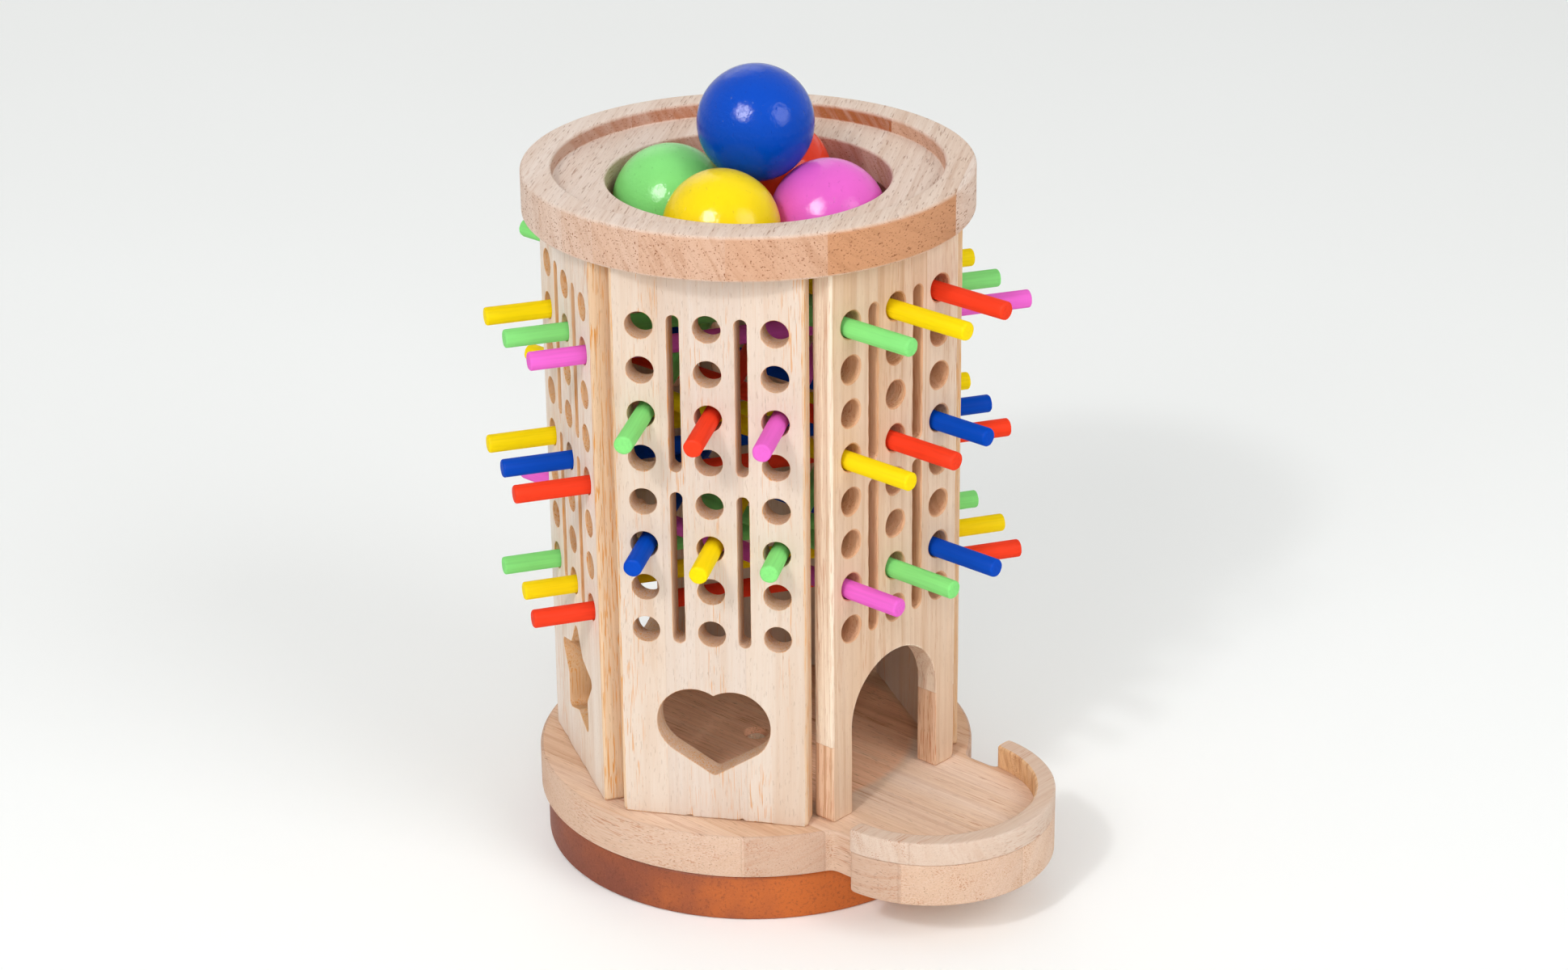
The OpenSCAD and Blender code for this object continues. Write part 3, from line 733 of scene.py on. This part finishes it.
low, high = corners('top_ring')
# The dish wall's tone deepens towards +x and -y as painted shade, with a paler strip at that end as painted
# light; the hopper wall's tone is painted shade
ring = {'low': low[2], 'tall': high[2] - low[2], 'r': high[0], 'dish': 63.39, 'hopper': 46.21, 'depth': 5.1,
        'round': 0.9, 'rim': 1.1, 'dishRound': 0.5, 'gap': 3.0, 'around': 288, 'grain': 31,
        'dishTone': (0.84, 0.2), 'hopperTone': 0.5, 'paleStart': 0.95, 'paleEdge': 0.65}
# The dark cut tone of the dish and hopper walls is end grain darkened as painted shade
ringLook = dict(boardLook, pale=(233, 218, 207), warm=(227, 207, 193), strip=(222, 194, 166),
                stripTint=0.25, line=(176, 124, 88), lines=0.18, fibres=0.18, lineRate=0.5, ringGap=3.6,
                fan=0.6, wander=3.0, edge=(200, 143, 103), edgeTint=0.95, cutTone=(166, 90, 48), cutTint=0.95,
                fleck=(184, 134, 104), flecks=0.35, pore=(146, 96, 66), pores=0.5, poreShape=(1.8, 1.8, 0.2),
                poreStart=0.6, seams=0.03, endFlecks=0.1, endMarks=0.8, endPores=1.0, span=160.0, seed=7.3,
                strips=[(-80, 0.1), (-71.2, 1.0), (-38, 0.7), (-8, 0.55), (20, 0.45), (36, 0.3), (48, 0.15),
                        (58, 0.03)])


def ringProfile(p):
    # The ring's section, anticlockwise: underside, outer wall, rim, dish wall, dish floor, hopper wall
    h, floor, r = p['tall'], p['tall'] - p['depth'], p['round']
    loop = rounded([[p['hopper'], 0, r], [p['r'], 0, r], [p['r'], h, p['rim']], [p['dish'], h, p['rim']],
                    [p['dish'], floor, p['dishRound']], [p['hopper'], floor, r]], 5)
    return filled(loop, p['gap']) + [0, p['low']]


def faceVectors(mesh, what):
    # The normals or the centres of a mesh's faces, one a row
    values = np.empty(3 * len(mesh.polygons))
    mesh.polygons.foreach_get(what, values)
    return values.reshape(-1, 3)


def toneRing(mesh, p):
    # Tags each face by how upright it is: as side on the outer wall and on a paler strip of the dish wall,
    # which is painted light, as cut on the rest of the dish wall, which darkens towards +x and -y as painted
    # shade, and on the hopper's wall, as painted shade
    upright = 1 - np.abs(faceVectors(mesh, 'normal')[:, 2])
    x, y, _ = faceVectors(mesh, 'center').T / mm
    far, shadeWay = np.hypot(x, y), (x - y) / p['r']
    onDish = far > p['dish'] - 3
    paler = np.where(onDish & (shadeWay > p['paleStart']), p['paleEdge'], 0.0)
    edge = np.where(far > p['dish'] + 5, 1.0, paler)
    tone = np.where(onDish, worn(p['dishTone'], shadeWay), p['hopperTone'])
    tag(mesh, 'side', upright * edge)
    tag(mesh, 'cut', upright * (edge == 0) * tone)


mesh = turnedMesh('top_ring_wood', ringProfile(ring), ring['around'], shut=True)
toneRing(mesh, ring)
wood = timberMaterial('ring wood', ringLook, ring['grain'], 'YZX')
addPiece('top_ring_turned', mesh, wood, 'tower', 'ring_wood', 'top_ring')
print('top ring done')


# Stained foot

low, high = corners('foot')
# The dark tone serves both the stain's slow patches and painted shade on the side towards -x and +y
foot = {'r': high[0], 'tall': high[2], 'round': 1.2, 'around': 256, 'flats': (0, 0.35, 0.7),
        'light': (190, 98, 38), 'dark': (128, 66, 46), 'shadeSide': (-0.9, 0.42, 0), 'cloud': 0.05,
        'speckTone': (104, 52, 30), 'speck': 0.9, 'dustTone': (216, 132, 74), 'dust': 3.1}


def stain(f):
    # Brown stain on fine board: slow patches, painted shade towards one side, fine specks that drank more of
    # it, satin varnish over all
    paint = Paint('brown stain')
    point = paint.space()
    cloud = paint.noise(point, f['cloud'], detail=3, rough=0.6, seed=2.2)
    # Painted shade: darker towards -x and +y
    shadeShare = paint.node('VectorMath', {'operation': 'DOT_PRODUCT'}, {0: point, 1: f['shadeSide']}, 'Value')
    shadeShare = shadeShare / f['r']
    speck = paint.noise(point, f['speck'], detail=3, rough=0.7, seed=4.1)
    dust = paint.noise(point, f['dust'], detail=1, seed=8.4)
    colour = paint.tint(paint.band(cloud * 0.7 + shadeShare * 0.6, 0.4, 1.0), shade(*f['light']), shade(*f['dark']))
    colour = paint.tint(paint.band(speck, 0.5, 0.7) * 0.5, colour, shade(*f['speckTone']))
    colour = paint.tint(paint.band(dust, 0.62, 0.72) * 0.22, colour, shade(*f['dustTone']))
    rough = 0.42 + speck * 0.2
    return paint.finish(colour, rough, speck * 0.5 + dust * 0.5, 0.05, {'Specular IOR Level': 0.25})


def footProfile(f):
    # From the middle of the underside out, up the rounded wall and in again over the top
    r, steps = f['r'], 6
    points = [[-r, 0], [r, 0], [r, f['tall']], [-r, f['tall']]]
    wall = rounded([point + [f['round']] for point in points], steps)[steps + 1:3 * (steps + 1)]
    flat = np.array([[share * r, 0] for share in f['flats']])
    return np.vstack([flat, wall, flat[::-1] + [0, f['tall']]])


mesh = turnedMesh('foot_wood', footProfile(foot), foot['around'])
addPiece('foot_turned', mesh, stain(foot), 'foot', 'stained_wood', 'foot')
print('foot done')


# Sticks

paints = {'green': (136, 226, 127), 'yellow': (250, 219, 12), 'red': (241, 64, 34), 'blue': (0, 72, 188),
          'pink': (233, 103, 205)}
sticks = {'r': 3.1, 'long': 170.0, 'bevel': 0.8, 'around': 48, 'facets': 0.035, 'rimSpread': 0.3,
          'turn': {'door': 0, 'heart': -60, 'star': -120}, 'layStep': (37.0, 11.0, 0),
          'grain': (1.3, 1.3, 0.05), 'cloud': (0.12, 0.12, 0.03), 'wear': 1.1}


def stickPaint(name, colour, s):
    # Satin paint on straight grained dowel: faint streaks along it, thin worn paint round the ends
    paint = Paint(name + ' stick paint')
    point = paint.read('lay', 'Vector')
    grain = paint.noise(point, s['grain'], rough=0.6, seed=1.3)
    cloud = paint.noise(point, s['cloud'], seed=6.2)
    wear = paint.noise(point, s['wear'], rough=0.6, seed=3.7)
    wear = paint.band(paint.read('rim') + (wear - 0.5) * 1.3, 0.6, 1.1)
    base = shade(*colour)
    pale = dim(base, 0.93, 0.015)
    mixed = paint.tint(paint.band(grain, 0.38, 0.72) * 0.5, base, dim(base, 0.82))
    mixed = paint.tint(paint.band(cloud, 0.35, 0.7) * 0.25, mixed, pale)
    mixed = paint.tint(wear * 0.7, mixed, pale)
    rough = 0.4 + grain * 0.16 + wear * 0.15
    return paint.finish(mixed, rough, grain, 0.06, {'Specular IOR Level': 0.03})


def stickProfile(s):
    # From the middle of one end out over its bevel, along the stick and in again at the other end
    half, r, b = s['long'] / 2, s['r'], s['bevel']
    a = np.linspace(0, np.pi / 2, 5)[:, None]
    bevel = np.hstack([r - b + b * np.sin(a), half - b + b * np.cos(a)])
    end = np.vstack([[[0, half], [r * 0.45, half]], bevel])
    along = np.linspace(half - b, b - half, 25)[1:-1, None]
    body = np.hstack([r + 0 * along, along])
    return np.vstack([end, body, (end * [1, -1])[::-1]])[::-1]


def stickMesh(name, number, s):
    # The profile turned about the stick's axis, its radius in faint flats that wander along it. The rim
    # attribute falls as a bell curve from the edge of each end
    middle = sum(corners(name)) / 2
    axes = facing(s['turn'][name.split('_')[0]])
    lay = number * np.array(s['layStep'])

    def flats(angle, r, z):
        # Waves of 5 and 8 crests round the stick, which turn slowly along it
        dip = np.cos(5 * angle + number * 1.9 + z * 0.004) + 0.6 * np.cos(8 * angle + number + z * 0.011)
        return r * (1 - s['facets'] * (0.5 + 0.31 * dip)), z

    mesh = turnedMesh(name + '_mesh', stickProfile(s), s['around'], lambda p: p @ axes + middle, shape=flats,
                      lay=lay)
    own = np.empty(3 * len(mesh.vertices))
    mesh.attributes['lay'].data.foreach_get('vector', own)
    x, y, z = (own.reshape(-1, 3) - lay).T
    near = (np.abs(z) - s['long'] / 2) ** 2 + (np.hypot(x, y) - s['r']) ** 2
    tag(mesh, 'rim', np.exp(-near / s['rimSpread']), 'POINT')
    return mesh


stickPaints = {key: stickPaint(key, colour, sticks) for key, colour in paints.items()}
stickNodes = sorted(n for n in frame['nodes'] if '_stick_' in n)
slots = {part['node']: part['material_slot'] for part in frame['record']['subparts']}
for number, name in enumerate(stickNodes):
    key = slots[name].split('_')[0]
    addPiece(name + '_painted', stickMesh(name, number, sticks), stickPaints[key], name, slots[name], name)
print(len(stickNodes), 'sticks done')


# Balls

balls = {'r': 19.0, 'dent': 0.09, 'dentWave': 7.0, 'around': 96, 'up': 64,
         'cloud': 0.07, 'peel': 0.32, 'grit': 0.85, 'pit': (0.9, 0.9, 0.3)}


def ballPaint(name, colour, b):
    # Gloss lacquer over sanded wood: faint clouds in the colour, orange peel and a few grain dents below
    paint = Paint(name + ' ball lacquer')
    point = paint.space()
    cloud = paint.noise(point, b['cloud'], detail=3, rough=0.6, seed=2.9)
    peel = paint.noise(point, b['peel'], detail=1, rough=0.6, seed=5.5)
    grit = paint.noise(point, b['grit'], rough=0.6, seed=7.5)
    pits = paint.band(paint.noise(point, b['pit'], detail=1, seed=9.2), 0.68, 0.78)
    base = shade(*colour)
    mixed = paint.tint(paint.band(cloud, 0.35, 0.7) * 0.4, base, dim(base, 0.84))
    mixed = paint.tint(pits * 0.35, mixed, dim(base, 0.6))
    height = peel * 0.7 + grit - pits * 0.5
    return paint.finish(mixed, 0.08 + peel * 0.07, height, 0.11, {'Specular IOR Level': 0.13})


def ballMesh(name, number, b):
    # A half circle turned about z, sanded out of round by hand: the radius shrinks a little in slow waves
    middle = sum(corners(name)) / 2
    a = np.linspace(-np.pi / 2, np.pi / 2, b['up'] + 1)[:, None]
    share = b['dent'] / b['r']

    def dents(angle, r, z):
        # At a pole every column has the same point, so the wave is left out there
        way = np.stack([np.cos(angle) * r, np.sin(angle) * r + z * 0.7], 2)
        wave = np.where(r < 1e-6, 0, ripple(way, b['dentWave'], number + 1.0))
        less = 1 - share * (1 + wave) / 2
        return r * less, z * less

    profile = b['r'] * np.hstack([np.cos(a), np.sin(a)])
    return turnedMesh(name + '_mesh', profile, b['around'], lambda p: p + middle, shape=dents)


for number, (key, colour) in enumerate(paints.items()):
    name = 'ball_' + key
    addPiece(name + '_lacquered', ballMesh(name, number, balls), ballPaint(key, colour, balls), name,
             key + '_gloss', name)
print('balls done')


# Small CAD nodes that keep their shape

small = {'beech': [(219, 189, 147), (196, 158, 114), (150, 104, 68)],  # tone, darker grain, flecks
         'zinc': [(255, 232, 208), (234, 206, 178)], 'metallic': 0.08,  # tone, bloom
         'sheet': [(236, 235, 230), (222, 221, 216), (196, 194, 188)]}  # tone, clouds, scuffs


def dress(name, material):
    # Gives a CAD node its material and leaves its mesh as it is
    made = frame['nodes'][name].data
    made.materials.clear()
    made.materials.append(material)


def dowelWood(tone, dark, speck):
    # Beech: straight fine grain along the dowel with short flecks
    paint = Paint('dowel beech')
    point = paint.space()
    grain = paint.noise(point, (1.4, 1.4, 0.07), detail=3, rough=0.6, seed=2.0)
    fleck = paint.band(paint.noise(point, (2.2, 2.2, 0.5), detail=1, seed=6.0), 0.62, 0.72)
    colour = paint.tint(paint.band(grain, 0.35, 0.7), shade(*tone), shade(*dark))
    colour = paint.tint(fleck * 0.5, colour, shade(*speck))
    return paint.finish(colour, 0.55 + grain * 0.15, grain, 0.06)


def screwSteel(tone, dark, metallic):
    # Zinc plate: faint cloudy bloom and fine turning marks round the head
    paint = Paint('screw zinc')
    point = paint.space()
    bloom = paint.noise(point, 0.5, detail=3, rough=0.6, seed=3.0)
    turning = paint.node('TexWave', {'wave_type': 'RINGS', 'rings_direction': 'Z'},
                         {'Vector': point, 'Scale': 0.9, 'Distortion': 0.6, 'Detail': 1.0})
    colour = paint.tint(bloom, shade(*tone), shade(*dark))
    rough = 0.34 + bloom * 0.16 + turning * 0.06
    return paint.finish(colour, rough, turning * 0.5 + bloom * 0.5, 0.02, {'Metallic': metallic})


def glideSheet(tone, dark, scuffed):
    # Slippery plastic sheet: pale clouds and scuffs that run one way
    paint = Paint('glide sheet')
    point = paint.space()
    cloud = paint.noise(point, 0.08, detail=3, rough=0.6, seed=1.0)
    scuff = paint.band(paint.noise(point, (0.25, 1.6, 1.0), detail=3, rough=0.7, seed=7.0), 0.55, 0.75)
    colour = paint.tint(cloud, shade(*tone), shade(*dark))
    colour = paint.tint(scuff * 0.3, colour, shade(*scuffed))
    return paint.finish(colour, 0.42 + scuff * 0.2, scuff, 0.03)


beech = dowelWood(*small['beech'])
dress('base_dowels', beech)
dress('ring_dowels', beech)
dress('pivot_screw', screwSteel(*small['zinc'], small['metallic']))
dress('glide_disc', glideSheet(*small['sheet']))
print('small parts dressed')


# Floor, light and background

# A lamp is its way from the object, distance and size in metres, watts, and whether it lights and shines
studio = {'floor': (240, 240, 238), 'floorSeen': (253, 255, 255), 'floorCloud': (236, 235, 232),
          'radius': 6000, 'ambient': 0.55, 'backdrop': (250, 250, 248), 'aim': (0, 0, 0.13),
          'lamps': [('key', (-0.77, -0.20, 0.61), 1.9, 0.7, 6, True, False),
                    ('sun', (-0.74, -0.19, 0.65), 1.9, 0.14, 6.5, True, False),
                    ('glint', (-0.77, -0.20, 0.61), 1.9, 0.85, 125, False, True),
                    ('window', (0.13, -0.88, 0.45), 1.9, 1.1, 26, False, True),
                    ('fill', (-0.02, -0.78, 0.60), 2.2, 1.2, 13, True, False),
                    ('front', (-0.68, -0.61, 0.40), 2.2, 0.8, 5.4, True, False),
                    ('rear', (0.5, 0.75, 0.7), 2.2, 1.4, 5, True, True)]}


def floorPaint(s):
    # A pale floor with faint clouds, paler still where the camera sees it directly
    paint = Paint('pale floor')
    cloud = paint.noise(paint.space(), 0.002, seed=1.0)
    seen = paint.node('LightPath', {}, {}, 'Is Camera Ray')
    colour = paint.tint(seen, shade(*s['floor']), shade(*s['floorSeen']))
    colour = paint.tint(cloud * 0.3, colour, shade(*s['floorCloud']))
    return paint.finish(colour, 0.7 + cloud * 0.1, cloud, 0.01)


def addFloor(s):
    # One flat round face
    rim = circle(0, 0, s['radius'], 64, 360)
    mesh = bpy.data.meshes.new('floor')
    mesh.from_pydata((np.pad(rim, ((0, 0), (0, 1))) * mm).tolist(), [], [list(range(len(rim)))])
    mesh.materials.append(floorPaint(s))
    placed('floor', mesh)


def addLamp(s, name, way, far, size, watts, lights, shines):
    # A round area lamp that looks back along its way at the aim
    lamp = bpy.data.lights.new(name, 'AREA')
    lamp.shape, lamp.size, lamp.energy = 'DISK', size, watts
    post = placed(name, lamp)
    post.location = Vector(way).normalized() * far + Vector(s['aim'])
    post.rotation_euler = Vector(way).to_track_quat('Z', 'Y').to_euler()
    post.visible_diffuse, post.visible_glossy = lights, shines


def paintSky(s):
    # The backdrop's colour, at full strength where it is seen or mirrored and at ambient strength as light
    world = bpy.data.worlds.new('studio')
    bpy.context.scene.world = world
    sky = Paint('studio', world)
    rays = ('Is Camera Ray', 'Is Glossy Ray', 'Is Transmission Ray')
    seen = sum(sky.node('LightPath', {}, {}, ray) for ray in rays)
    seen = sky.node('Math', {'operation': 'MINIMUM'}, {0: seen, 1: 1.0})
    strength = seen + (1 - seen) * s['ambient']
    glow = sky.node('Background', {}, {'Color': shade(*s['backdrop']), 'Strength': strength})
    sky.tree.links.new(glow.link, sky.tree.nodes.new('ShaderNodeOutputWorld').inputs['Surface'])


addFloor(studio)
for lamp in studio['lamps']:
    addLamp(studio, *lamp)
paintSky(studio)
bpy.context.scene.view_settings.view_transform = 'Standard'
print('studio lit')
